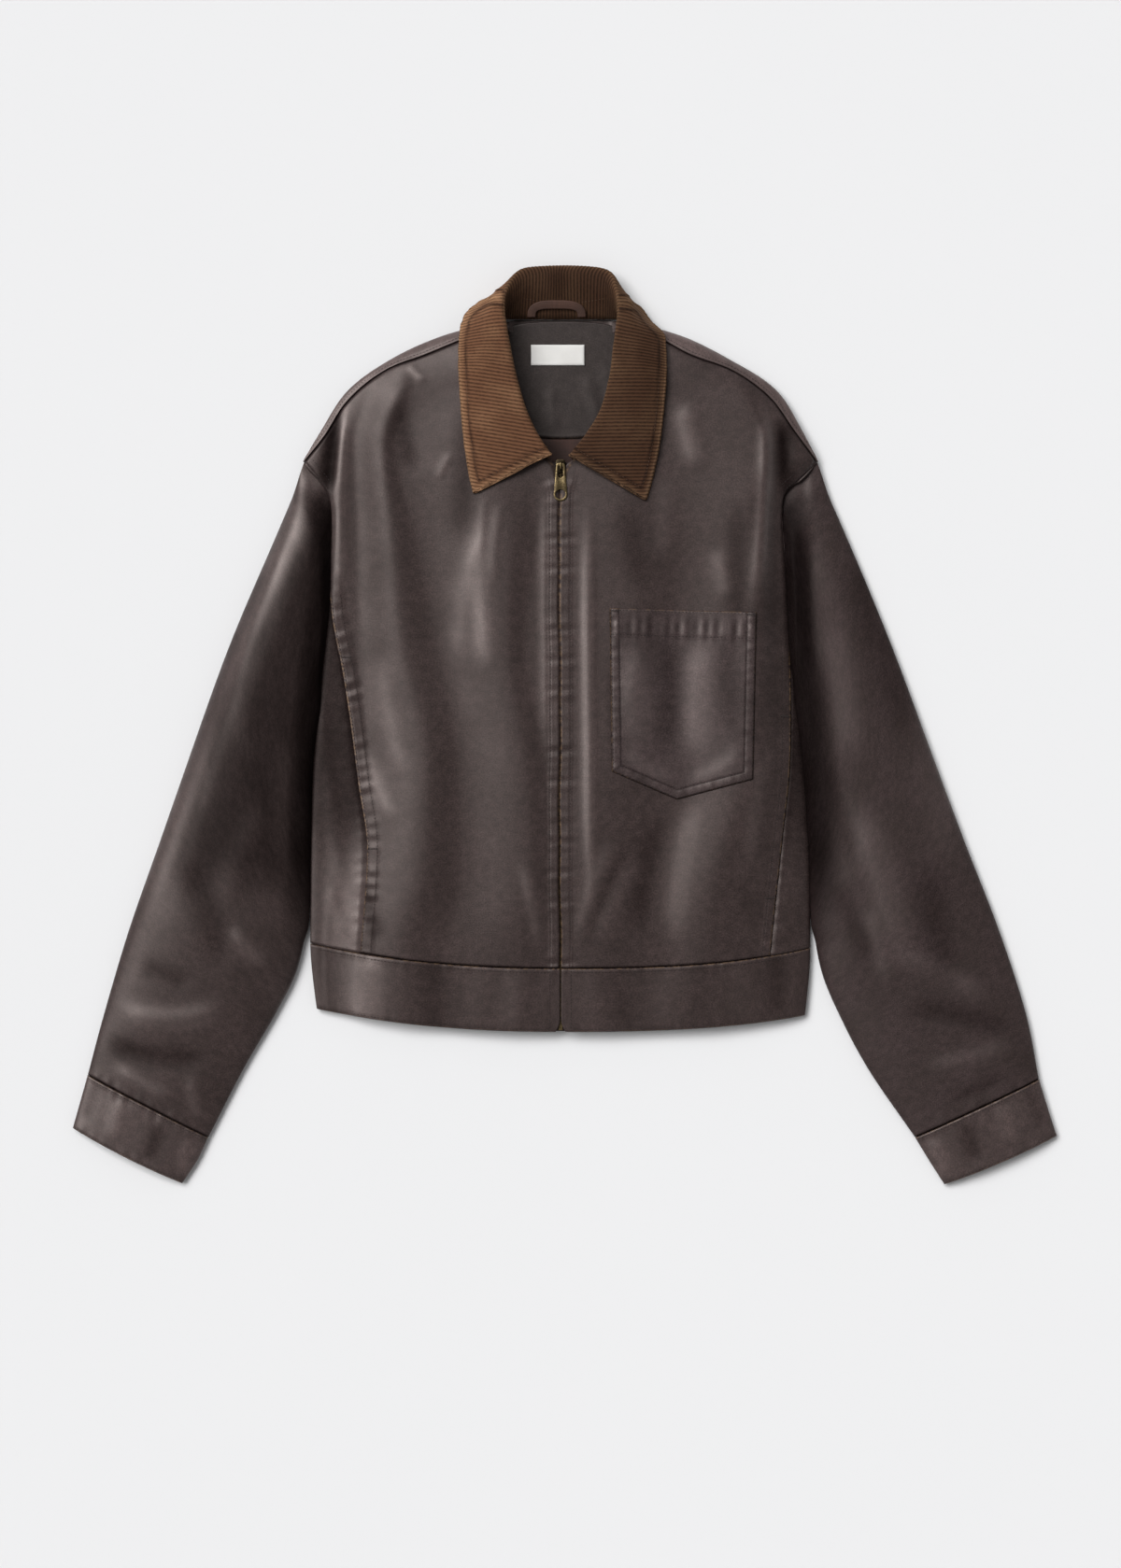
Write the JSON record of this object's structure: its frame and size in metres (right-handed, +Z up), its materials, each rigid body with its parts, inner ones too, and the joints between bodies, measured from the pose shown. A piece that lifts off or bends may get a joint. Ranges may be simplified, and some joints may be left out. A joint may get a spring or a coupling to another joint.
{
  "type": "zip jacket with corduroy collar",
  "caption": "Boxy zip-front jacket in coated cotton with a corduroy collar, chest patch pocket and hem band, laid flat on its back with the sleeves spread.",
  "frame": {"origin": "middle of the underside, on the surface that the jacket lies on", "axes": "+X to the wearer's left, +Y up the body towards the collar, +Z up from the surface, out of the front"},
  "size_m": [0.8806, 0.8206, 0.038],
  "materials": {
    "coated_cotton": "waxy matt coating",
    "corduroy": "ribbed pile",
    "lining": "plain weave",
    "label_satin": "woven satin",
    "zip_tape": "woven tape",
    "brass": "antiqued"
  },
  "bodies": {
    "jacket": {"back": "coated_cotton", "front_right": "coated_cotton", "front_left": "coated_cotton", "side_right": "coated_cotton", "side_left": "coated_cotton", "hem_band": "coated_cotton", "sleeve_right": "coated_cotton", "sleeve_left": "coated_cotton", "under_sleeve_right": "coated_cotton", "under_sleeve_left": "coated_cotton", "cuff_right": "coated_cotton", "cuff_left": "coated_cotton", "chest_pocket": "coated_cotton", "neck_facing": "coated_cotton", "collar": "corduroy", "back_lining": "lining", "hanger_loop": "lining", "neck_label": "label_satin", "zip_tape_right": "zip_tape", "zip_tape_left": "zip_tape", "zip_chain": "brass", "zip_box": "brass", "zip_slider": "brass"},
    "pull_tab": {"pull_tab": "brass"}
  },
  "joints": [
    {"name": "pull", "type": "hinge", "parent": "jacket", "child": "pull_tab", "pos_m": [-0.00375, 0.23193, 0.02727], "axis": [-1, 0, 0], "range_deg": [0, 160]}
  ]
}
